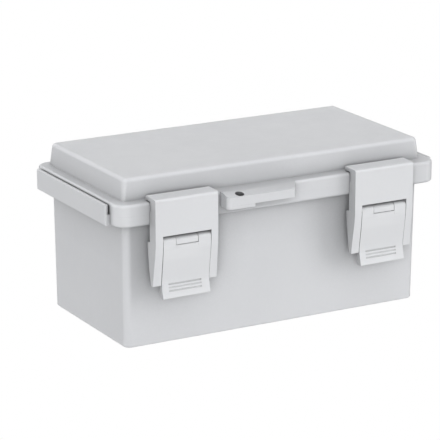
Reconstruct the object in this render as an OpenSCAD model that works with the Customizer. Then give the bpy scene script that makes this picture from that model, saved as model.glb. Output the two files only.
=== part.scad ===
// Hinged polycarbonate enclosure with two over-centre draw latches.
// Origin: centre of the underside. +X along the long side, -Y is the latch side, +Z up. Millimetres.

/* [Case] */
// Outside length of the case walls, along X
case_len = 194.3; // [180:0.1:210]
// Outside depth of the case walls, along Y
case_dep = 94.7; // [88:0.1:110]
// Height of the underside of the rim above the base
rim_z = 73.3; // [70:0.1:90]
// Wall thickness of the case and the lid
wall = 3; // [2:0.1:3.5]
// Radius of the upright corners of the case
case_r = 4.3; // [3:0.1:6]

/* [Rim and lid] */
// Length of the rim and of the lid flange, along X
flange_len = 210; // [208:0.1:214]
// Distance from the centre to the front edge of the flange
flange_front = 56; // [55:0.1:57]
// Distance from the centre to the rear edge of the flange
flange_rear = 53; // [52:0.1:53.5]
// Corner radius of the rim and the flange
flange_r = 8; // [7.5:0.1:12]
// Thickness of the rim, from its underside to the parting plane
rim_t = 6.3; // [5.5:0.1:7]
// Air gap between the rim and the lid flange
part_gap = 0.3; // [0.2:0.05:0.5]
// Thickness of the lid flange
flange_t = 6.5; // [6.5:0.1:7]
// Height of the raised lid panel above the flange
crown_h = 12.9; // [10:0.1:25]
// Length of the raised lid panel, along X
crown_len = 196.1; // [190:0.1:197]
// Depth of the raised lid panel, along Y
crown_dep = 94.3; // [90:0.1:96]

/* [End guards] */
// Distance from the centre to the outer face of an end guard bar
guard_x = 107.9; // [107.8:0.05:109]
// Gap between the lid flange and a guard bar
guard_gap = 0.9; // [0.8:0.1:1.6]
// Height of the guard bars above the rim underside
guard_h = 12.2; // [8:0.1:12.8]

/* [Padlock lug and pull] */
// Left end of the lug, along X
lug_x0 = -40.7; // [-44:0.1:-38]
// Right end of the padlock block
lug_x1 = -22.8; // [-26:0.1:-20]
// Right end of the finger pull at its front edge
pull_x1 = 2.4; // [-5:0.1:5]
// Distance from the centre to the front face of the lug
lug_front = 64.7; // [64:0.1:67]
// Thickness of the finger pull at its front edge
pull_t = 4.9; // [4:0.1:6]
// Thickness of the case half of the lug
lug_t = 2; // [1.5:0.1:3]
// Diameter of the padlock hole
lock_d = 5.2; // [4:0.1:5.6]

/* [Draw latches] */
// Distance of each latch from the middle of the case
latch_x = 65; // [60:0.5:66]
// Width of a latch frame
frame_w = 40.6; // [38:0.1:41]
// Width of the window in a latch frame
window_w = 30.4; // [30:0.1:31]
// Width of a lever
lever_w = 29.6; // [28:0.1:29.6]
// Diameter of the latch pins
pin_d = 2.5; // [2:0.1:2.6]

/* [Hinges] */
// Distance of each hinge from the middle of the case
hinge_x = 60; // [45:0.5:70]
// Diameter of the hinge pins
hinge_pin_d = 3; // [2.5:0.1:3.5]
// Outside radius of the hinge knuckles
knuckle_r = 4; // [3.5:0.1:4.1]

/* [Mounting plate and fixings] */
// Half spacing of the fixing columns along X
fix_x = 82; // [70:0.5:84]
// Half spacing of the fixing columns along Y
fix_y = 33; // [28:0.5:34]
// Height of the fixing columns above the base
column_h = 15; // [14:0.1:25]
// Thickness of the mounting plate
plate_t = 1.5; // [1:0.1:3]

/* [Hidden] */
rim_top = rim_z + rim_t;
lid_z = rim_top + part_gap;
flange_top = lid_z + flange_t;
lid_top = flange_top + crown_h;
guard_top = rim_z + guard_h;
guard_y0 = -45.1;
guard_y1 = 43.6;
hinge_y = flange_rear + knuckle_r + 0.6;
hinge_z = rim_top + part_gap / 2;
lock_x = -31.8;
lock_y = -61.4;
// latch pivot (lever to bracket) and link pin (lever to frame), in Y and Z
piv_y = -58.6;
piv_z = 63.6;
lnk_y = -56.4;
lnk_z = 51.2;
barrel_r = 2.5;
front_y = -61.5;
lip_z = flange_top + 0.5;
win_z = 67.4;
foot_z = 38.3;
clr = 0.02; // fixed pins
run = 0.06; // turning pins
eps = 0.01;
shell_c = [0.80, 0.81, 0.83];
latch_c = [0.84, 0.85, 0.87];
steel_c = [0.62, 0.63, 0.65];
brass_c = [0.80, 0.66, 0.36];
rubber_c = [0.16, 0.16, 0.17];

// ---- helpers ----
// rounded rectangle between two corners
module rrect(x0, y0, x1, y1, r) {
    translate([x0 + r, y0]) square([x1 - x0 - 2 * r, y1 - y0]);
    translate([x0, y0 + r]) square([x1 - x0, y1 - y0 - 2 * r]);
    for (x = [x0 + r, x1 - r], y = [y0 + r, y1 - r]) translate([x, y]) circle(r = r, $fn = 48);
}
module slab(x0, y0, x1, y1, r, z0, z1) {
    translate([0, 0, z0]) linear_extrude(height = z1 - z0) rrect(x0, y0, x1, y1, r);
}
// centred box in X and Y
module cslab(w, d, r, z0, z1) { slab(-w / 2, -d / 2, w / 2, d / 2, r, z0, z1); }
// outline of the flange drawn in by i all round
module flange_slab(i, r, z0, z1) {
    slab(-flange_len / 2 + i, -flange_front + i, flange_len / 2 - i, flange_rear - i, r, z0, z1);
}
// profile drawn in Y and Z, run along X from x0 to x1
module along_x(x0, x1) {
    translate([x0, 0, 0]) rotate([90, 0, 90]) linear_extrude(height = x1 - x0) children();
}
module rod_x(x0, x1, y, z, r) {
    translate([x0, y, z]) rotate([0, 90, 0]) cylinder(r = r, h = x1 - x0, $fn = 48);
}
module rod_y(x, y0, y1, z, r) {
    translate([x, y1, z]) rotate([90, 0, 0]) cylinder(r = r, h = y1 - y0, $fn = 40);
}
module boxc(p0, p1) { translate(p0) cube([p1[0] - p0[0], p1[1] - p0[1], p1[2] - p0[2]]); }
module at_columns() { for (x = [-fix_x, fix_x], y = [-fix_y, fix_y]) translate([x, y, 0]) children(); }

// seal path, centred this far in from the flange edge
seal_in = 5.4;
groove_w = 3.6;
module seal_ring(w, z0, z1) {
    difference() {
        flange_slab(seal_in - w / 2, flange_r - seal_in + w / 2, z0, z1);
        flange_slab(seal_in + w / 2, flange_r - seal_in - w / 2, z0 - 1, z1 + 1);
    }
}

// ---- case ----
module knuckle_body(cx) {
    for (s = [-1, 1]) {
        x0 = cx + (s < 0 ? -16 : 8);
        rod_x(x0, x0 + 8, hinge_y, hinge_z, knuckle_r);
        boxc([x0, flange_rear - 1, hinge_z - knuckle_r], [x0 + 8, hinge_y, rim_top - 0.1]);
    }
}
module body_shell() {
    color(shell_c) difference() {
        union() {
            cslab(case_len, case_dep, case_r, 0, rim_top);
            flange_slab(0, flange_r, rim_z, rim_top);
            seal_ring(1.4, rim_top - 0.5, lid_z + 1.7);
            // end guard bars, joined to the rim below the parting plane
            for (s = [-1, 1]) {
                xi = flange_len / 2 + guard_gap;
                boxc([s < 0 ? -guard_x : xi, guard_y0, rim_z], [s < 0 ? -xi : guard_x, guard_y1, guard_top]);
                boxc([s < 0 ? -guard_x : flange_len / 2 - 3, guard_y0, rim_z], [s < 0 ? -flange_len / 2 + 3 : guard_x, guard_y1, rim_top]);
            }
            // lower half of the padlock lug, at the edge of the rim
            boxc([lug_x0, -lug_front, rim_top - lug_t], [lug_x1, -flange_front + 1.8, rim_top]);
            knuckle_body(-hinge_x);
            knuckle_body(hinge_x);
        }
        // inside of the case
        cslab(case_len - 2 * wall, case_dep - 2 * wall, case_r - 1.5, wall, rim_top + 5);
        // bores in the knuckles, the lug and the front wall
        for (cx = [-hinge_x, hinge_x]) rod_x(cx - 17, cx + 17, hinge_y, hinge_z, hinge_pin_d / 2 + clr);
        translate([lock_x, lock_y, rim_top - lug_t - 1]) cylinder(d = lock_d, h = 10, $fn = 48);
        for (cx = [-latch_x, latch_x], z = [54.5, 69.5]) rod_y(cx, -case_dep / 2 - 1, -case_dep / 2 + wall + 0.01, z, 1.52);
        at_columns() translate([0, 0, -1]) cylinder(r = 2.82, h = wall + 2, $fn = 48);
    }
    // fixing columns with an insert seat at each end
    color(shell_c) at_columns() difference() {
        translate([0, 0, wall - 0.5]) cylinder(r = 5.5, h = column_h - wall + 0.5, $fn = 48);
        translate([0, 0, -1]) cylinder(r = 2.82, h = 7, $fn = 48);
        translate([0, 0, column_h - 6]) cylinder(r = 2.82, h = 7, $fn = 48);
    }
    // blind bosses behind the latch bracket screws
    color(shell_c) for (cx = [-latch_x, latch_x], z = [54.5, 69.5]) difference() {
        rod_y(cx, -case_dep / 2 + wall - 0.5, -case_dep / 2 + wall + 6, z, 3.5);
        rod_y(cx, -case_dep / 2 + wall - 1, -case_dep / 2 + wall + 4.5, z, 1.52);
    }
}

// ---- lid ----
module knuckle_lid(cx) {
    rod_x(cx - 7.7, cx + 7.7, hinge_y, hinge_z, knuckle_r);
    boxc([cx - 7.7, flange_rear - 1, lid_z + 0.1], [cx + 7.7, hinge_y, hinge_z + knuckle_r]);
}
module lid_shell() {
    color(shell_c) difference() {
        union() {
            flange_slab(0, flange_r, lid_z, flange_top);
            cslab(crown_len, crown_dep, 3, flange_top - 1, lid_top);
            // finger pull, with the upper half of the padlock lug at its left end
            translate([0, 0, lid_z]) linear_extrude(height = flange_t)
                polygon([[lug_x0, -flange_front + 3], [lug_x0, -lug_front + 1], [lug_x0 + 1, -lug_front],
                    [pull_x1 - 1, -lug_front], [pull_x1, -lug_front + 1], [pull_x1 + 4.9, -flange_front], [pull_x1 + 4.9, -flange_front + 3]]);
            knuckle_lid(-hinge_x);
            knuckle_lid(hinge_x);
        }
        // inside of the lid
        cslab(crown_len - 2 * wall, crown_dep - 2 * wall, 1.5, lid_z - 5, lid_top - wall);
        // seal groove in the underside
        seal_ring(groove_w, lid_z - 1, lid_z + 4);
        // the pull slopes down to its front edge
        along_x(lug_x0 - 1, pull_x1 + 6) polygon([[-flange_front - 2, flange_top], [-lug_front, lid_z + pull_t], [-lug_front - 1, lid_z + pull_t - 0.2],
            [-lug_front - 1, flange_top + 1], [-flange_front - 2, flange_top + 1]]);
        for (cx = [-hinge_x, hinge_x]) rod_x(cx - 8, cx + 8, hinge_y, hinge_z, hinge_pin_d / 2 + run);
        translate([lock_x, lock_y, lid_z - 1]) cylinder(d = lock_d, h = 12, $fn = 48);
    }
}
module lid_gasket() { color(rubber_c) seal_ring(groove_w, lid_z + 2, lid_z + 4); }

module hinge_pin(cx) { color(steel_c) rod_x(cx - 15.8, cx + 15.8, hinge_y, hinge_z, hinge_pin_d / 2); }

// ---- latches ----
module latch_bracket(cx) {
    wy = -case_dep / 2;
    color(latch_c) difference() {
        union() {
            boxc([cx - 13, wy - 2.5, 50], [cx + 13, wy, 72.8]);
            boxc([cx - 7, piv_y, piv_z - 2.1], [cx + 7, wy - 1, piv_z + 2.1]);
            rod_x(cx - 7, cx + 7, piv_y, piv_z, barrel_r);
        }
        rod_x(cx - 8, cx + 8, piv_y, piv_z, pin_d / 2 + clr);
        for (z = [54.5, 69.5]) rod_y(cx, wy - 4, wy + 1, z, 1.6);
    }
}
module bracket_screws() {
    wy = -case_dep / 2;
    color(steel_c) for (cx = [-latch_x, latch_x], z = [54.5, 69.5]) difference() {
        union() {
            rod_y(cx, wy - 4.3, wy - 2.5, z, 2.8);
            rod_y(cx, wy - 3, wy + wall + 4, z, 1.5);
        }
        translate([cx - 2, wy - 5, z - 0.4]) cube([4, 1.6, 0.8]);
        translate([cx - 0.4, wy - 5, z - 2]) cube([0.8, 1.6, 4]);
    }
}
module lever_pivot_pin(cx) { color(steel_c) rod_x(cx - 14.3, cx + 14.3, piv_y, piv_z, pin_d / 2); }
module frame_pin(cx) { color(steel_c) rod_x(cx - frame_w / 2 + 0.45, cx + frame_w / 2 - 0.45, lnk_y, lnk_z, pin_d / 2); }

// lever face, from the pivot down to the flared grip
module lever_face(top) {
    polygon([[-61.1, top], [-61.0, 58.5], [-60.5, 52.5], [-59.7, 47], [-59.1, 42.5], [-58.9, 39.5], [-59.2, 37.4],
        [-60.2, 34.6], [-61.2, 31.4], [-61.2, 30.9], [-60.9, 30.6], [-57.6, 30.6], [-57.2, 31.2], [-56.8, 34], [-56.7, 39.5], [-57.1, 46],
        [-57.5, 50], [-57.6, 54], [-58.2, 58.5], [-58.3, top]]);
}
module latch_lever(cx) {
    color(latch_c) difference() {
        union() {
            along_x(cx - lever_w / 2, cx + lever_w / 2) lever_face(60.4);
            for (s = [-1, 1]) {
                x0 = cx + (s < 0 ? -lever_w / 2 : 7.35);
                x1 = cx + (s < 0 ? -7.35 : lever_w / 2);
                along_x(x0, x1) lever_face(piv_z);
                rod_x(x0, x1, piv_y, piv_z, barrel_r);
                // web round the link pin
                w0 = cx + (s < 0 ? -lever_w / 2 : lever_w / 2 - 3);
                rod_x(w0, w0 + 3, lnk_y, lnk_z, 2.6);
                along_x(w0, w0 + 3) polygon([[-59.5, 46], [-57, 46], [lnk_y + 1.2, lnk_z - 2.3], [lnk_y + 1.2, lnk_z + 2.3], [-58.2, 58], [-60.5, 56]]);
            }
        }
        rod_x(cx - 16, cx + 16, piv_y, piv_z, pin_d / 2 + run);
        rod_x(cx - 16, cx + 16, lnk_y, lnk_z, pin_d / 2 + run);
        // clearance round the bracket knuckle, and the grip grooves
        for (g = [33.2, 35.0, 36.8]) translate([cx, -61.2 + (g - 32) * 0.36, g]) rotate([0, 90, 0]) cylinder(r = 0.45, h = 21, center = true, $fn = 24);
    }
}
module latch_frame(cx) {
    h = frame_w / 2;
    color(latch_c) difference() {
        union() {
            for (s = [-1, 1]) {
                along_x(s < 0 ? cx - h : cx + h - 3, s < 0 ? cx - h + 3 : cx + h)
                    polygon([[front_y + 0.8, lip_z + 2.2], [front_y, lip_z + 1.4], [front_y, 62], [-61.1, 57.5], [-60.4, 52], [-59.4, 45], [-58.9, 41], [-58.7, foot_z],
                        [-57.0, foot_z], [-56.0, 43.2], [-52.2, 63.2], [-52.6, 63.6], [-56.3, 63.6], [-56.3, lip_z], [-50.3, lip_z], [-50.3, lip_z + 2.0], [-50.6, lip_z + 2.3]]);
                // legs beside the window
                along_x(s < 0 ? cx - h : cx + window_w / 2, s < 0 ? cx - window_w / 2 : cx + h)
                    polygon([[front_y, win_z + 1], [front_y, 62], [-61.1, 57.5], [-60.4, 52], [-59.4, 45], [-58.9, 41], [-58.7, foot_z],
                        [-56.2, foot_z], [-56.4, 41], [-56.8, 45], [-57.6, 52], [-58.2, 57.5], [-58.5, 62], [-58.5, win_z + 1]]);
            }
            // face plate above the window, and the lip that hooks over the lid flange
            along_x(cx - h + 1, cx + h - 1) polygon([[front_y + 0.8, lip_z + 2.2], [front_y, lip_z + 1.4], [front_y, win_z], [-58.5, win_z], [-58.5, lip_z - 1.2], [-57.3, lip_z],
                [-50.3, lip_z], [-50.3, lip_z + 2.0], [-50.6, lip_z + 2.3]]);
        }
        rod_x(cx - h - 1, cx + h + 1, lnk_y, lnk_z, pin_d / 2 + clr);
    }
}

// ---- inside ----
module mounting_plate() {
    color(steel_c) difference() {
        cslab(2 * fix_x + 14, 2 * fix_y + 12, 3, column_h, column_h + plate_t);
        at_columns() translate([0, 0, column_h - 1]) cylinder(r = 2.2, h = plate_t + 2, $fn = 48);
    }
}
module plate_washers() {
    color(steel_c) at_columns() translate([0, 0, column_h + plate_t]) difference() {
        cylinder(r = 4.5, h = 0.8, $fn = 48);
        translate([0, 0, -1]) cylinder(r = 2.15, h = 3, $fn = 48);
    }
}
module plate_screws() {
    z = column_h + plate_t + 0.8;
    color(steel_c) at_columns() difference() {
        union() {
            translate([0, 0, z]) cylinder(r = 3.8, h = 2.4, $fn = 48);
            translate([0, 0, column_h - 5]) cylinder(r = 1.6, h = 8, $fn = 48);
            translate([0, 0, column_h]) cylinder(r = 1.95, h = 3, $fn = 48);
        }
        translate([-2.3, -0.45, z + 1]) cube([4.6, 0.9, 3]);
        translate([-0.45, -2.3, z + 1]) cube([0.9, 4.6, 3]);
    }
}
module insert_ring(z0, z1) {
    translate([0, 0, z0]) difference() {
        cylinder(r = 2.8, h = z1 - z0, $fn = 48);
        translate([0, 0, -1]) cylinder(r = 1.65, h = z1 - z0 + 2, $fn = 48);
    }
}
module plate_inserts() { color(brass_c) at_columns() insert_ring(column_h - 5.9, column_h - 0.05); }
module base_inserts() { color(brass_c) at_columns() insert_ring(0.1, 5.9); }

body_shell();
lid_shell();
lid_gasket();
hinge_pin(-hinge_x);  // hinge_pin_left
hinge_pin(hinge_x);  // hinge_pin_right
latch_bracket(-latch_x);  // latch_bracket_left
latch_bracket(latch_x);  // latch_bracket_right
bracket_screws();
lever_pivot_pin(-latch_x);  // lever_pivot_pin_left
lever_pivot_pin(latch_x);  // lever_pivot_pin_right
latch_lever(-latch_x);  // latch_lever_left
latch_lever(latch_x);  // latch_lever_right
latch_frame(-latch_x);  // latch_frame_left
latch_frame(latch_x);  // latch_frame_right
frame_pin(-latch_x);  // frame_pin_left
frame_pin(latch_x);  // frame_pin_right
mounting_plate();
plate_screws();
plate_washers();
plate_inserts();
base_inserts();
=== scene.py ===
import math

import bpy
import bmesh
from mathutils import Matrix, Vector


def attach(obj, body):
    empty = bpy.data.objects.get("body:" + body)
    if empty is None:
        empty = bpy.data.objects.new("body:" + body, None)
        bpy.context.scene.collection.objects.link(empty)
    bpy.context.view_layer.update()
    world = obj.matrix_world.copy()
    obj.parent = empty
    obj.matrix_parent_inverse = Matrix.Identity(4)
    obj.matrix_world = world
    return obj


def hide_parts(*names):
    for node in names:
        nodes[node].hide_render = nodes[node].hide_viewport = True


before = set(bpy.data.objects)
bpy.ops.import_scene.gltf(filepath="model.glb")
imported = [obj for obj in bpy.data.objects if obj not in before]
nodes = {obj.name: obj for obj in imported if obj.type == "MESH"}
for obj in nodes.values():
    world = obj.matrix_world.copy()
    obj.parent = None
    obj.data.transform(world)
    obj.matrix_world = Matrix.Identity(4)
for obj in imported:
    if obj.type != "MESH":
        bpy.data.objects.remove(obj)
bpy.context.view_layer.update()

MM = 0.001
scene = bpy.context.scene

# ------------------------------------------------------------------ mesh helpers (millimetres)


def link(name, verts, faces):
    me = bpy.data.meshes.new(name)
    me.from_pydata([tuple(v) for v in verts], [], faces)
    me.validate()
    ob = bpy.data.objects.new(name, me)
    scene.collection.objects.link(ob)
    return ob


def recalc(ob):
    bm = bmesh.new()
    bm.from_mesh(ob.data)
    bmesh.ops.recalc_face_normals(bm, faces=bm.faces[:])
    bm.to_mesh(ob.data)
    bm.free()
    return ob


def rr(x0, y0, x1, y1, r, z, k=10):
    pts = []
    for cx, cy, a0 in ((x1 - r, y0 + r, -90), (x1 - r, y1 - r, 0), (x0 + r, y1 - r, 90), (x0 + r, y0 + r, 180)):
        for i in range(k + 1):
            a = math.radians(a0 + 90 * i / k)
            pts.append((cx + r * math.cos(a), cy + r * math.sin(a), z))
    return pts


def loft(name, rings):
    n = len(rings[0])
    verts = [p for ring in rings for p in ring]
    faces = [tuple(reversed(range(n)))]
    for i in range(len(rings) - 1):
        a, b = i * n, (i + 1) * n
        for j in range(n):
            k = (j + 1) % n
            faces.append((a + j, a + k, b + k, b + j))
    last = (len(rings) - 1) * n
    faces.append(tuple(range(last, last + n)))
    return link(name, verts, faces)


AXES = {"x": lambda u, v, w: (w, u, v), "y": lambda u, v, w: (u, w, v), "z": lambda u, v, w: (u, v, w)}


def prism(poly, axis, lo, hi, name="prism"):
    """poly in (y, z) for x, (x, z) for y, (x, y) for z, run from lo to hi along the axis."""
    f = AXES[axis]
    n = len(poly)
    verts = [f(u, v, lo) for u, v in poly] + [f(u, v, hi) for u, v in poly]
    faces = [tuple(range(n)), tuple(range(n, 2 * n))]
    for j in range(n):
        k = (j + 1) % n
        faces.append((j, k, n + k, n + j))
    return recalc(link(name, verts, faces))


def box(x0, x1, y0, y1, z0, z1, name="box"):
    return prism([(x0, y0), (x1, y0), (x1, y1), (x0, y1)], "z", z0, z1, name)


def disc(cu, cv, r, n=40, a0=0.0):
    return [(cu + r * math.cos(a0 + 2 * math.pi * i / n), cv + r * math.sin(a0 + 2 * math.pi * i / n)) for i in range(n)]


def rod(axis, cu, cv, r, lo, hi, n=40, name="rod"):
    return prism(disc(cu, cv, r, n), axis, lo, hi, name)


def arc(cu, cv, r, a0, a1, n):
    return [(cu + r * math.cos(math.radians(a0 + (a1 - a0) * i / n)), cv + r * math.sin(math.radians(a0 + (a1 - a0) * i / n))) for i in range(n + 1)]


def rounded(poly, radii, seg=6):
    """Polygon with each corner rounded by its own radius (0 keeps it sharp)."""
    out = []
    n = len(poly)
    for i in range(n):
        p0, p, p1 = Vector(poly[i - 1]), Vector(poly[i]), Vector(poly[(i + 1) % n])
        r = radii[i] if isinstance(radii, (list, tuple)) else radii
        a, b = (p0 - p), (p1 - p)
        la, lb = a.length, b.length
        a.normalize(), b.normalize()
        ang = a.angle(b)
        if r <= 0 or ang > math.radians(178):
            out.append(tuple(p))
            continue
        t = min(r / math.tan(ang / 2), 0.49 * la, 0.49 * lb)
        r = t * math.tan(ang / 2)
        c = p + (a + b).normalized() * (r / math.sin(ang / 2))
        s, e = p + a * t - c, p + b * t - c
        turn = s.angle(e)
        k = max(1, math.ceil(seg * turn / (math.pi / 2)))
        sign = 1 if s.x * e.y - s.y * e.x > 0 else -1
        base = math.atan2(s.y, s.x)
        for j in range(k + 1):
            th = base + sign * turn * j / k
            out.append((c.x + r * math.cos(th), c.y + r * math.sin(th)))
    return out


def apply(ob):
    dg = bpy.context.evaluated_depsgraph_get()
    dg.update()
    me = bpy.data.meshes.new_from_object(ob.evaluated_get(dg))
    ob.modifiers.clear()
    old = ob.data
    ob.data = me
    bpy.data.meshes.remove(old)
    return ob


def boolean(ob, others, op):
    others = others if isinstance(others, (list, tuple)) else [others]
    for o in others:
        m = ob.modifiers.new("b", "BOOLEAN")
        m.operation = op
        m.solver = "EXACT"
        m.object = o
        apply(ob)
        old = o.data
        bpy.data.objects.remove(o)
        bpy.data.meshes.remove(old)
    return ob


def tidy(ob, dist=0.002):
    bm = bmesh.new()
    bm.from_mesh(ob.data)
    bmesh.ops.remove_doubles(bm, verts=bm.verts[:], dist=dist)
    bmesh.ops.dissolve_limit(bm, angle_limit=math.radians(0.4), use_dissolve_boundaries=False, verts=bm.verts[:], edges=bm.edges[:])
    bm.to_mesh(ob.data)
    bm.free()
    return ob


def bevel(ob, width, segments=3, angle=30):
    m = ob.modifiers.new("bevel", "BEVEL")
    m.width = width
    m.segments = segments
    m.limit_method = "ANGLE"
    m.angle_limit = math.radians(angle)
    m.use_clamp_overlap = True
    m.miter_outer = "MITER_ARC"
    return apply(ob)


def round_edges(ob, width, segments, pick, angle=30):
    """Round only the edges that pick(end, end) chooses."""
    bm = bmesh.new()
    bm.from_mesh(ob.data)
    lim = math.radians(angle)
    edges = [e for e in bm.edges if len(e.link_faces) == 2 and e.calc_face_angle(0) > lim and pick(e.verts[0].co, e.verts[1].co)]
    bmesh.ops.bevel(bm, geom=edges, offset=width, offset_type="OFFSET", segments=segments, profile=0.5, affect="EDGES", clamp_overlap=True)
    bm.to_mesh(ob.data)
    bm.free()
    return ob


def finish_piece(ob, name, body, mat, replaces=(), sharp=28):
    ob.name = name
    ob.data.name = name
    ob.data.transform(Matrix.Scale(MM, 4))
    for p in ob.data.polygons:
        p.use_smooth = True
    ob.data.set_sharp_from_angle(angle=math.radians(sharp))
    m = ob.modifiers.new("normals", "WEIGHTED_NORMAL")
    m.keep_sharp = True
    m.weight = 50
    ob.data.materials.clear()
    ob.data.materials.append(mat)
    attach(ob, body)
    if replaces:
        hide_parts(*replaces)
    return ob


# ------------------------------------------------------------------ materials


def mat_new(name):
    m = bpy.data.materials.new(name)
    m.use_nodes = True
    nt = m.node_tree
    nt.nodes.clear()
    out = nt.nodes.new("ShaderNodeOutputMaterial")
    bsdf = nt.nodes.new("ShaderNodeBsdfPrincipled")
    nt.links.new(bsdf.outputs["BSDF"], out.inputs["Surface"])
    return m, nt, bsdf


def noise(nt, coord, scale, detail=3.0, rough=0.5, dist=0.0):
    n = nt.nodes.new("ShaderNodeTexNoise")
    n.inputs["Scale"].default_value = scale
    n.inputs["Detail"].default_value = detail
    n.inputs["Roughness"].default_value = rough
    n.inputs["Distortion"].default_value = dist
    nt.links.new(coord, n.inputs["Vector"])
    return n.outputs["Fac"]


def remap(nt, fac, lo, hi, a=0.3, b=0.7):
    n = nt.nodes.new("ShaderNodeMapRange")
    n.inputs["From Min"].default_value = a
    n.inputs["From Max"].default_value = b
    n.inputs["To Min"].default_value = lo
    n.inputs["To Max"].default_value = hi
    nt.links.new(fac, n.inputs["Value"])
    return n.outputs["Result"]


def mix(nt, fac, a, b):
    n = nt.nodes.new("ShaderNodeMix")
    n.data_type = "RGBA"
    if isinstance(fac, (int, float)):
        n.inputs[0].default_value = fac
    else:
        nt.links.new(fac, n.inputs[0])
    for i, c in ((6, a), (7, b)):
        if isinstance(c, tuple):
            n.inputs[i].default_value = (*c, 1.0)
        else:
            nt.links.new(c, n.inputs[i])
    return n.outputs[2]


def painted_shade(nt, shade_reach, power):
    """Painted shade factor: 1 on open faces, falling towards 0 in recesses and beside raised parts."""
    ao = nt.nodes.new("ShaderNodeAmbientOcclusion")
    ao.samples = 6
    ao.inputs["Distance"].default_value = shade_reach
    p = nt.nodes.new("ShaderNodeMath")
    p.operation = "POWER"
    p.inputs[1].default_value = power
    nt.links.new(ao.outputs["AO"], p.inputs[0])
    return p.outputs["Value"]


def plastic(name, col, dark, light, rough=0.5, grain=0.035, grain_scale=1400.0, spec=0.5, wear=0.5, shade_reach=0.028, power=1.7, shade_floor=0.42, crease_shade=0.12, crease_shade_span=(0.10, 0.62), painted_side_shade=False, lug_and_hole_shade=False):
    """Moulded plastic: slow colour drift, fine spark-eroded grain, slightly paler rubbed edges, and painted shade
    darkening the colour in recesses, beside raised parts and in narrow creases.
    """
    m, nt, b = mat_new(name)
    tc = nt.nodes.new("ShaderNodeTexCoord").outputs["Object"]
    drift = noise(nt, tc, 14.0, 3.0, 0.55)
    speck = noise(nt, tc, 520.0, 2.0, 0.6)
    base = mix(nt, remap(nt, drift, 0.0, 1.0, 0.35, 0.65), dark, col)
    base = mix(nt, remap(nt, speck, 0.0, 0.18, 0.45, 0.8), base, light)
    geo = nt.nodes.new("ShaderNodeNewGeometry").outputs["Pointiness"]
    edge = remap(nt, geo, 0.0, wear, 0.52, 0.60)
    base = mix(nt, edge, base, light)
    # painted shade: the darkest colour the wide painted shade can reach
    shade_col = tuple(c * shade_floor for c in col)
    wide_shade = painted_shade(nt, shade_reach, power)
    if painted_side_shade:
        # painted shade: only the faces that look along X get the wide painted shade, darkened as if in the shade of the
        # case wall
        sep = nt.nodes.new("ShaderNodeSeparateXYZ")
        nt.links.new(nt.nodes.new("ShaderNodeNewGeometry").outputs["True Normal"], sep.inputs["Vector"])
        size = nt.nodes.new("ShaderNodeMath")
        size.operation = "ABSOLUTE"
        nt.links.new(sep.outputs["X"], size.inputs[0])
        pick = nt.nodes.new("ShaderNodeMix")
        nt.links.new(remap(nt, size.outputs["Value"], 0.0, 1.0, 0.3, 0.9), pick.inputs[0])
        pick.inputs[2].default_value = 1.0
        nt.links.new(remap(nt, wide_shade, 0.22, 0.46), pick.inputs[3])
        wide_shade = pick.outputs[0]
    # painted shade in narrow creases and slits, from a short-reach occlusion factor
    near_shade = remap(nt, painted_shade(nt, 0.0035, 1.0), 0.0, 1.0, crease_shade_span[0], crease_shade_span[1]) if crease_shade_span else painted_shade(nt, 0.0035, 1.6)
    if lug_and_hole_shade:
        # the painted shade is lifted at the end of the padlock lug
        sep = nt.nodes.new("ShaderNodeSeparateXYZ")
        nt.links.new(tc, sep.inputs["Vector"])
        m1 = remap(nt, sep.outputs["X"], 1.0, 0.0, -0.0385, -0.0335)
        m2 = remap(nt, sep.outputs["X"], 0.0, 1.0, -0.0425, -0.0412)
        m3 = remap(nt, sep.outputs["Y"], 1.0, 0.0, -0.0563, -0.0561)
        lug_end_x = nt.nodes.new("ShaderNodeMath")
        lug_end_x.operation = "MULTIPLY"
        nt.links.new(m1, lug_end_x.inputs[0])
        nt.links.new(m2, lug_end_x.inputs[1])
        lug_end_mask = nt.nodes.new("ShaderNodeMath")
        lug_end_mask.operation = "MULTIPLY"
        nt.links.new(lug_end_x.outputs[0], lug_end_mask.inputs[0])
        nt.links.new(m3, lug_end_mask.inputs[1])
        lug_end_unshaded = []
        for v in (wide_shade, near_shade):
            pk = nt.nodes.new("ShaderNodeMix")
            nt.links.new(lug_end_mask.outputs[0], pk.inputs[0])
            nt.links.new(v, pk.inputs[2])
            pk.inputs[3].default_value = 1.0
            lug_end_unshaded.append(pk.outputs[0])
        wide_shade, near_shade = lug_end_unshaded
        # deep painted shade inside the padlock hole
        off = nt.nodes.new("ShaderNodeVectorMath")
        off.operation = "SUBTRACT"
        off.inputs[1].default_value = (-0.0318, -0.0614, 0.0)
        nt.links.new(tc, off.inputs[0])
        flat = nt.nodes.new("ShaderNodeVectorMath")
        flat.operation = "MULTIPLY"
        flat.inputs[1].default_value = (1.0, 1.0, 0.0)
        nt.links.new(off.outputs[0], flat.inputs[0])
        dist = nt.nodes.new("ShaderNodeVectorMath")
        dist.operation = "LENGTH"
        nt.links.new(flat.outputs[0], dist.inputs[0])
        hole = nt.nodes.new("ShaderNodeMath")
        hole.operation = "MULTIPLY"
        nt.links.new(remap(nt, dist.outputs["Value"], 0.12, 1.0, 0.00261, 0.00264), hole.inputs[0])
        nt.links.new(near_shade, hole.inputs[1])
        near_shade = hole.outputs[0]
    # the painted shade is mixed into the base colour: first the wide shade, then the darker crease shade
    base = mix(nt, wide_shade, shade_col, base)
    base = mix(nt, near_shade, tuple(c * crease_shade for c in col), base)
    nt.links.new(base, b.inputs["Base Color"])
    nt.links.new(remap(nt, noise(nt, tc, 90.0, 4.0, 0.6), rough - 0.05, rough + 0.06), b.inputs["Roughness"])
    b.inputs["Specular IOR Level"].default_value = spec
    bump = nt.nodes.new("ShaderNodeBump")
    bump.inputs["Strength"].default_value = grain
    bump.inputs["Distance"].default_value = 0.0003
    nt.links.new(noise(nt, tc, grain_scale, 2.0, 0.5), bump.inputs["Height"])
    nt.links.new(bump.outputs["Normal"], b.inputs["Normal"])
    return m


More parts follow.
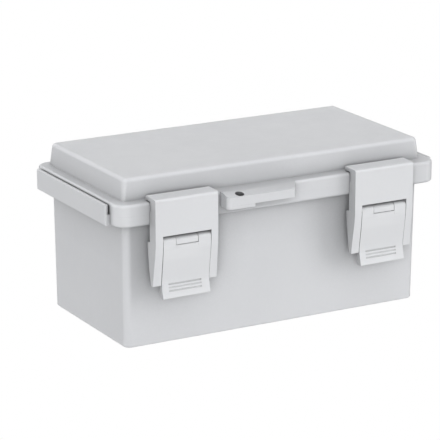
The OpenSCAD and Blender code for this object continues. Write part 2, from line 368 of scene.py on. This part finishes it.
def metal(name, col, dark, rough=0.32, along=(1.0, 1.0, 1.0), scale=900.0, bump_s=0.05):
    m, nt, b = mat_new(name)
    tc = nt.nodes.new("ShaderNodeTexCoord").outputs["Object"]
    mp = nt.nodes.new("ShaderNodeMapping")
    mp.inputs["Scale"].default_value = along
    nt.links.new(tc, mp.inputs["Vector"])
    lines = noise(nt, mp.outputs["Vector"], scale, 4.0, 0.6)
    blot = noise(nt, tc, 60.0, 3.0, 0.6)
    nt.links.new(mix(nt, remap(nt, blot, 0.0, 1.0), dark, col), b.inputs["Base Color"])
    b.inputs["Metallic"].default_value = 1.0
    nt.links.new(remap(nt, lines, rough - 0.08, rough + 0.12), b.inputs["Roughness"])
    bp = nt.nodes.new("ShaderNodeBump")
    bp.inputs["Strength"].default_value = bump_s
    bp.inputs["Distance"].default_value = 0.0002
    nt.links.new(lines, bp.inputs["Height"])
    nt.links.new(bp.outputs["Normal"], b.inputs["Normal"])
    return m


def rubber(name):
    m, nt, b = mat_new(name)
    tc = nt.nodes.new("ShaderNodeTexCoord").outputs["Object"]
    v = nt.nodes.new("ShaderNodeTexVoronoi")
    v.inputs["Scale"].default_value = 1500.0
    nt.links.new(tc, v.inputs["Vector"])
    cells = v.outputs["Distance"]
    nt.links.new(mix(nt, remap(nt, cells, 0.0, 1.0, 0.0, 0.8), (0.018, 0.018, 0.02), (0.045, 0.045, 0.048)), b.inputs["Base Color"])
    nt.links.new(remap(nt, noise(nt, tc, 300.0), 0.75, 0.9), b.inputs["Roughness"])
    bp = nt.nodes.new("ShaderNodeBump")
    bp.inputs["Strength"].default_value = 0.3
    bp.inputs["Distance"].default_value = 0.0002
    nt.links.new(cells, bp.inputs["Height"])
    nt.links.new(bp.outputs["Normal"], b.inputs["Normal"])
    return m


SHELL = plastic("shell_plastic", (0.592, 0.600, 0.617), (0.576, 0.584, 0.602), (0.632, 0.639, 0.654), rough=0.42, lug_and_hole_shade=True)
# the latch plastic is a little paler than the shell plastic, in part as painted light for the brighter, open latch
# faces
LATCH = plastic("latch_plastic", (0.632, 0.640, 0.656), (0.616, 0.624, 0.642), (0.672, 0.679, 0.694), rough=0.38, grain=0.02, shade_reach=0.06, power=1.7, shade_floor=0.42, crease_shade=0.35, crease_shade_span=None, painted_side_shade=True)
PIN = metal("pin_steel", (0.66, 0.66, 0.68), (0.52, 0.52, 0.54), 0.28, (0.05, 1.0, 1.0))
FIX = metal("fixing_steel", (0.68, 0.68, 0.70), (0.55, 0.55, 0.57), 0.30)
PLATE = metal("plate_steel", (0.60, 0.62, 0.64), (0.42, 0.44, 0.46), 0.42, (0.6, 1.0, 1.0), 140.0, 0.02)
BRASS = metal("insert_brass", (0.80, 0.62, 0.30), (0.62, 0.45, 0.20), 0.34)
SEAL = rubber("seal_rubber")

# ------------------------------------------------------------------ case

X0, X1, YF, YR, RF = -105.0, 105.0, -56.0, 53.0, 8.0
RIM_Z, PART_B, PART_L, TOP_Z, CROWN_Z = 73.3, 79.77, 79.79, 86.4, 99.3
K = 12


def fl(i, z):
    return rr(X0 + i, YF + i, X1 - i, YR - i, max(RF - i, 0.6), z, K)


def wall_ring(z, out=0.0, r=4.3):
    hx, hy = 96.35 + 0.8 * z / 73.3 + out, 46.55 + 0.8 * z / 73.3 + out
    return rr(-hx, -hy, hx, hy, r + out, z, K)


HX, HY, HZ = (-60.0, 60.0), 57.6, 79.75
LX0, LX1, LF = -40.7, -22.8, -64.7
LOCK = (-31.8, -61.4)


def knuckle_profile(up):
    """Hinge knuckle with a web that runs into the flange edge; up for the lid, down for the case."""
    s = 1 if up else -1
    top = HZ + s * 4.0
    pts = [(52.0, HZ + s * 0.12), (52.0, top - s * 0.6), (54.2, top - s * 0.1)]
    a0, a1 = (90, -180) if up else (-90, 180)
    pts += arc(HY, HZ, 4.0, a0, a1, 26)
    pts += [(53.6, HZ + s * 0.12)]
    return pts


def build_case():
    rings = []
    for t in range(0, 91, 18):
        c, s = math.cos(math.radians(t)), math.sin(math.radians(t))
        rings.append(wall_ring(0.0, -1.1 * (1 - s)) if t == 0 else None)
        z = 1.1 * (1 - c)
        ring = wall_ring(0.0, -1.1 * (1 - s))
        rings[-1] = [(x, y, z) for x, y, _ in ring]
    for z in (12.0, 30.0, 50.0, 66.0, 72.4):
        rings.append(wall_ring(z))
    for t in (20, 40, 60, 90):
        o = 0.9 * (1 - math.cos(math.radians(t)))
        z = 72.4 + 0.9 * math.sin(math.radians(t))
        rings.append([(x, y, z) for x, y, _ in wall_ring(72.4, o)])
    for t in range(0, 91, 15):
        c, s = math.cos(math.radians(t)), math.sin(math.radians(t))
        rings.append(fl(1.6 * (1 - s), RIM_Z + 1.6 * (1 - c)))
    rings.append(fl(0, PART_B))
    rings += [fl(4.7, PART_B), fl(4.7, 81.35), fl(4.85, 81.55), fl(5.95, 81.55), fl(6.1, 81.35), fl(6.1, PART_B)]
    ix, iy = 94.15, 44.35
    rings.append(rr(-ix - 0.3, -iy - 0.3, ix + 0.3, iy + 0.3, 3.1, PART_B, K))
    rings.append(rr(-ix, -iy, ix, iy, 2.8, PART_B - 0.3, K))
    rings.append(rr(-ix, -iy, ix, iy, 2.8, 5.5, K))
    for t in (30, 60, 90):
        o = 2.4 * (1 - math.cos(math.radians(t)))
        rings.append(rr(-ix + o, -iy + o, ix - o, iy - o, 3.2, 5.5 - 2.5 * math.sin(math.radians(t)), K))
    case = loft("case", rings)
    # end guard bars
    for s in (-1, 1):
        hi = bevel(box(*sorted((s * 105.9, s * 107.9)), -45.1, 43.6, RIM_Z, 85.5), 0.6, 4, 60)
        # one smooth outer face: the tall plate and its thick root share it
        root = bevel(box(*sorted((s * 103.0, s * 107.3)), -45.4, 43.1, RIM_Z + 0.02, PART_B - 0.02), 0.3, 3, 60)
        guard = boolean(hi, root, "UNION")
        boolean(case, guard, "UNION")
    # lower half of the padlock lug at the edge of the rim
    outline = rounded([(LX0, -54.6), (LX0, LF), (LX1, LF), (LX1, -54.6)], [0, 3.2, 0.9, 0], 12)
    lug = round_edges(prism(outline, "z", 77.6, PART_B - 0.01), 0.7, 4, lambda a, b: a.z < 77.7 and b.z < 77.7 and min(a.y, b.y) < -56.5)
    boolean(case, lug, "UNION")
    # fixing columns, bosses, knuckles
    for x in (-82.0, 82.0):
        for y in (-33.0, 33.0):
            boolean(case, rod("z", x, y, 5.5, 2.0, 15.0), "UNION")
    for cx in (-65.0, 65.0):
        for z in (54.5, 69.5):
            boolean(case, rod("y", cx, z, 3.5, -45.5, -38.35), "UNION")
    for cx in HX:
        for a in (-16.0, 8.0):
            k = prism(knuckle_profile(False), "x", cx + a, cx + a + 8.0)
            boolean(case, bevel(k, 0.3, 3, 50), "UNION")
    cut = [rod("z", LOCK[0], LOCK[1], 2.6, 76.0, 84.0, 48)]
    for x in (-82.0, 82.0):
        for y in (-33.0, 33.0):
            cut.append(rod("z", x, y, 2.83, -1.0, 6.0))
            cut.append(rod("z", x, y, 2.83, 9.0, 16.0))
    for cx in (-65.0, 65.0):
        for z in (54.5, 69.5):
            cut.append(rod("y", cx, z, 1.53, -50.0, -39.85))
    for cx in HX:
        cut.append(rod("x", HY, HZ, 1.53, cx - 17, cx + 17))
    boolean(case, cut, "DIFFERENCE")
    tidy(case)
    return finish_piece(case, "case", "base", SHELL, ["body_shell"])


def build_lid():
    rings = []
    cx_, cy_ = 95.05, 44.15
    for o, z in ((3.0, 96.3), (1.2, 96.0), (0.3, 95.2), (0.0, 94.0)):
        rings.append(rr(-cx_ + o, -cy_ + o, cx_ - o, cy_ - o, 1.6, z, K))
    rings.append(rr(-cx_, -cy_, cx_, cy_, 1.6, PART_L + 0.3, K))
    rings.append(rr(-cx_ - 0.3, -cy_ - 0.3, cx_ + 0.3, cy_ + 0.3, 1.9, PART_L, K))
    rings += [fl(7.2, PART_L), fl(7.2, 83.9), fl(3.6, 83.9), fl(3.6, PART_L)]
    rings.append(fl(0, PART_L))
    for t in range(0, 91, 15):
        c, s = math.cos(math.radians(t)), math.sin(math.radians(t))
        rings.append(fl(1.7 * (1 - c), TOP_Z - 1.7 * (1 - s)))

    def crown(z, out=0.0, r=2.2):
        f = (z - TOP_Z) / (CROWN_Z - TOP_Z)
        hx, hy = 98.1 - 1.2 * f + out, 47.45 - 0.75 * f + out
        return rr(-hx, -hy + 0.1, hx, hy + 0.05, max(r + out, 0.5), z, K)

    for t in (90, 45, 0):
        s, c = math.sin(math.radians(t)), math.cos(math.radians(t))
        rings.append([(x, y, TOP_Z + 0.35 * (1 - s)) for x, y, _ in crown(TOP_Z, 0.35 * (1 - c))])
    R = 2.75
    rings.append(crown(TOP_Z + 4.5))
    for t in range(0, 91, 10):
        s, c = math.sin(math.radians(t)), math.cos(math.radians(t))
        ring = crown(CROWN_Z - R, -R * (1 - c), 2.9)
        rings.append([(x, y, CROWN_Z - R * (1 - s)) for x, y, _ in ring])
    lid = loft("lid", rings)
    # finger pull with the upper half of the lug
    out = rounded([(LX0, -53.0), (LX0, LF), (2.4, LF), (7.3, -56.0), (7.3, -53.0)], [0, 3.2, 1.2, 1.2, 0], 12)
    pull = prism(out, "z", PART_L, TOP_Z)
    fall = [(-58.0, 86.6), (-58.0, 86.4), (-66.0, 84.45), (-66.0, 86.6)]
    boolean(pull, prism(fall, "x", LX0 - 1, 9.0), "DIFFERENCE")
    round_edges(pull, 1.1, 5, lambda a, b: a.z > 84.2 and b.z > 84.2 and min(a.y, b.y) < -56.5, 35)
    boolean(lid, pull, "UNION")
    for cx in HX:
        k = prism(knuckle_profile(True), "x", cx - 7.7, cx + 7.7)
        boolean(lid, bevel(k, 0.3, 3, 50), "UNION")
    cut = [rod("z", LOCK[0], LOCK[1], 2.6, 79.0, 90.0, 48)]
    for cx in HX:
        cut.append(rod("x", HY, HZ, 1.56, cx - 8, cx + 8))
    boolean(lid, cut, "DIFFERENCE")
    tidy(lid)
    return finish_piece(lid, "lid", "lid", SHELL, ["lid_shell"])


# ------------------------------------------------------------------ latches

PIV, LNK = (-58.6, 63.6), (-56.4, 51.2)
FRONT = [(-61.5, 62.0), (-61.1, 57.5), (-60.4, 52.0), (-59.4, 45.0), (-58.9, 41.0), (-58.7, 38.3)]


def build_frame(cx, side):
    top = [(-50.3, 86.95), (-50.3, 88.7), (-50.5, 89.1), (-50.9, 89.3), (-59.4, 88.97)] + arc(-59.9, 87.35, 1.6, 95, 180, 8)[1:]
    sil = top + FRONT + [(-57.4, 38.3), (-56.9, 38.7), (-56.2, 43.2), (-53.9, 56.0), (-53.2, 62.6), (-53.6, 63.4), (-56.25, 63.8), (-56.25, 86.5), (-55.8, 86.95)]
    fr = prism(sil, "x", cx - 22, cx + 22)
    plan = [(cx - 20.0, -62.5), (cx + 19.5, -62.5), (cx + 19.6, -61.0), (cx + 20.6, -56.2), (cx + 20.3, -48.0), (cx - 20.7, -48.0), (cx - 21.0, -56.2), (cx - 20.1, -61.0)]
    boolean(fr, prism(plan, "z", 36.0, 91.0), "INTERSECT")
    rear = [(-58.5, 86.95), (-58.5, 62.0), (-58.2, 57.5), (-57.6, 52.0), (-56.8, 45.0), (-56.4, 41.0), (-56.1, 37.0), (-49.0, 37.0), (-49.0, 86.95)]
    boolean(fr, prism(rear, "x", cx - 17, cx + 17), "DIFFERENCE")
    boolean(fr, box(cx - 15.3, cx + 15.2, -64, -55, 36, 67.4), "DIFFERENCE")
    shape = rounded([(cx - 22, 37.9), (cx + 22, 37.9), (cx + 22, 78.0), (cx + 20.1, 82.0), (cx + 20.1, 89.6), (cx - 20.6, 89.6), (cx - 20.6, 82.0), (cx - 22, 78.0)], [0.5, 0.5, 0, 0, 1.6, 1.6, 0, 0], 8)
    boolean(fr, prism(shape, "y", -64, -48), "INTERSECT")
    outer = lambda v: abs(v.x - cx) > 19.4 or (abs(v.x - cx) > 18.2 and v.z > 87.9)
    round_edges(fr, 0.8, 4, lambda a, b: outer(a) and outer(b))
    bevel(fr, 0.2, 2, 40)
    boolean(fr, rod("x", LNK[0], LNK[1], 1.28, cx - 19.87, cx + 19.87, 32), "DIFFERENCE")
    return finish_piece(fr, "latch_bail_" + side, "frame_" + side, LATCH, ["latch_frame_" + side])


def build_lever(cx, side):
    face = [(-61.3, 61.3), (-61.1, 57.5), (-60.5, 52.0), (-59.6, 46.0), (-59.0, 41.8), (-58.85, 39.6), (-59.0, 37.6), (-59.6, 34.8), (-60.4, 31.9), (-60.6, 31.0), (-60.4, 30.5)]
    back = [(-57.1, 30.5), (-56.7, 31.0), (-56.6, 34.0), (-56.7, 39.5), (-57.1, 46.0), (-57.5, 50.0), (-57.6, 54.0), (-58.2, 58.5), (-58.3, 60.08), (-58.9, 60.08), (-59.6, 60.22), (-60.3, 60.54), (-60.9, 60.98)]
    lv = prism(face + back, "x", cx - 15.0, cx + 15.0)
    upper = [(-58.4, 59.0)] + arc(PIV[0], PIV[1], 2.8, 20, 150, 10) + [(-61.35, 63.8), (-61.3, 60.0), (-61.2, 59.0)]
    for a, b in ((-15.0, -7.15), (7.15, 15.0)):
        boolean(lv, prism(upper, "x", cx + a, cx + b), "UNION")
    for a, b in ((-15.0, -11.5), (11.5, 15.0)):
        web = [(-59.5, 45.5), (-57.0, 45.5)] + arc(LNK[0], LNK[1], 2.6, -60, 60, 10) + [(-58.2, 58.0), (-60.0, 56.5)]
        boolean(lv, prism(web, "x", cx + a, cx + b), "UNION")
    bevel(lv, 0.25, 3, 40)
    cut = [rod("x", PIV[0], PIV[1], 1.31, cx - 16, cx + 16, 32), rod("x", LNK[0], LNK[1], 1.31, cx - 16, cx + 16, 32)]
    boolean(lv, cut, "DIFFERENCE")
    # grip grooves
    for z in (38.5, 36.6, 34.7):
        y = -58.85 - max(0.0, (38.6 - z)) * 0.215
        g = rod("x", y - 0.12, z, 0.5, cx - 10.8, cx + 9.9, 16)
        boolean(lv, g, "DIFFERENCE")
    return finish_piece(lv, "lever_" + side, "lever_" + side, LATCH, ["latch_lever_" + side])


def build_bracket(cx, side):
    wy = -47.25
    plate = prism(rounded([(cx - 13, 50), (cx + 13, 50), (cx + 13, 72.8), (cx - 13, 72.8)], 1.5, 6), "y", wy - 2.5, wy - 0.02)
    bevel(plate, 0.4, 3, 50)
    prof = [(wy - 1.0, 61.7), (-57.6, 61.65)] + [(-58.2, 61.6), (-61.3, 61.55), (-61.3, 63.4)] + arc(PIV[0], PIV[1], 2.65, 165, 90, 6) + [(wy - 1.0, 65.7)]
    arm = bevel(prism(prof, "x", cx - 7, cx + 7), 0.25, 3, 50)
    boolean(plate, arm, "UNION")
    cut = [rod("x", PIV[0], PIV[1], 1.27, cx - 8, cx + 8, 32)]
    for z in (54.5, 69.5):
        cut.append(rod("y", cx, z, 1.6, wy - 5, wy + 2))
    boolean(plate, cut, "DIFFERENCE")
    return finish_piece(plate, "bracket_" + side, "base", LATCH, ["latch_bracket_" + side])


build_case()
build_lid()
for cx_, side_ in ((-65.0, "left"), (65.0, "right")):
    build_frame(cx_, side_)
    build_lever(cx_, side_)
    build_bracket(cx_, side_)

# carried-over CAD pieces get their finishes
for n, ob in nodes.items():
    m = None
    if n == "lid_gasket":
        m = SEAL
    elif n.endswith("inserts"):
        m = BRASS
    elif n == "mounting_plate":
        m = PLATE
    elif "pin" in n:
        m = PIN
    elif n in ("bracket_screws", "plate_screws", "plate_washers"):
        m = FIX
    if m:
        ob.data.materials.clear()
        ob.data.materials.append(m)

# ------------------------------------------------------------------ floor, light, camera

fm, fnt, fb = mat_new("floor")
fnt.nodes.remove(fb)
em = fnt.nodes.new("ShaderNodeEmission")
em.inputs["Color"].default_value = (1.0, 1.0, 1.0, 1.0)
em.inputs["Strength"].default_value = 1.0
fnt.links.new(em.outputs["Emission"], [n for n in fnt.nodes if n.type == "OUTPUT_MATERIAL"][0].inputs["Surface"])
floor = link("floor", [(x_, y_, z_) for z_ in (-0.05, 6000.0) for x_, y_ in ((-6000, -6000), (6000, -6000), (6000, 6000), (-6000, 6000))],
             [(0, 1, 2, 3), (0, 4, 5, 1), (1, 5, 6, 2), (2, 6, 7, 3), (3, 7, 4, 0)])
floor.data.transform(Matrix.Scale(MM, 4))
floor.data.materials.append(fm)
floor.visible_shadow = False
floor.visible_diffuse = False
floor.visible_glossy = False
floor.visible_transmission = False

# soft light from each side (azimuth from the latch side, elevation, power) and the strength below and above the horizon
LAMPS = [(-30, 10, 2.40), (0, 90, 1.74), (60, 10, 1.49), (-120, 10, 0.93), (-165, 35, 0.52), (150, 10, 0.41), (-75, 10, 0.24)]
BELOW, ABOVE = 0.40, 0.0
world = bpy.data.worlds.new("studio")
scene.world = world
world.use_nodes = True
bg = world.node_tree.nodes.get("Background") or world.node_tree.nodes.new("ShaderNodeBackground")
bg.inputs["Color"].default_value = (1.0, 1.0, 1.0, 1.0)
wnt = world.node_tree
wsep = wnt.nodes.new("ShaderNodeSeparateXYZ")
wnt.links.new(wnt.nodes.new("ShaderNodeTexCoord").outputs["Generated"], wsep.inputs["Vector"])
wmap = wnt.nodes.new("ShaderNodeMapRange")
wmap.inputs["From Min"].default_value = -0.02
wmap.inputs["From Max"].default_value = 0.02
wmap.inputs["To Min"].default_value = BELOW
wmap.inputs["To Max"].default_value = ABOVE
wnt.links.new(wsep.outputs["Z"], wmap.inputs["Value"])
wnt.links.new(wmap.outputs["Result"], bg.inputs["Strength"])
for az_, el_, power_ in LAMPS:
    a_, e_ = math.radians(az_), math.radians(el_)
    way = Vector((math.sin(a_) * math.cos(e_), -math.cos(a_) * math.cos(e_), math.sin(e_)))
    lamp = bpy.data.lights.new("soft_lamp", "SUN")
    lamp.energy = power_
    lamp.angle = math.radians(40.0)
    lo = bpy.data.objects.new("soft_lamp", lamp)
    scene.collection.objects.link(lo)
    lo.location = way
    lo.rotation_euler = way.to_track_quat("Z", "Y").to_euler()

AZ, EL = math.radians(-29.198), math.radians(16.159)
back = Vector((math.sin(AZ) * math.cos(EL), -math.cos(AZ) * math.cos(EL), math.sin(EL)))
right = (-back).cross(Vector((0, 0, 1))).normalized()
up = right.cross(-back)
centre = Vector((0.0, 0.0, 0.0525))
cam_data = bpy.data.cameras.new("camera")
cam = bpy.data.objects.new("camera", cam_data)
scene.collection.objects.link(cam)
cam.location = centre + (-0.008748) * right + (-0.002167) * up + 1.43318 * back
cam.rotation_euler = (-back).to_track_quat("-Z", "Y").to_euler()
cam_data.sensor_width = 36.0
cam_data.sensor_fit = "HORIZONTAL"
cam_data.lens = 198.364
cam_data.clip_start = 0.01
cam_data.clip_end = 50.0
cam_data.dof.use_dof = False
scene.camera = cam

scene.view_settings.view_transform = "Standard"
scene.view_settings.look = "None"
scene.view_settings.exposure = 0.0
scene.view_settings.gamma = 1.0
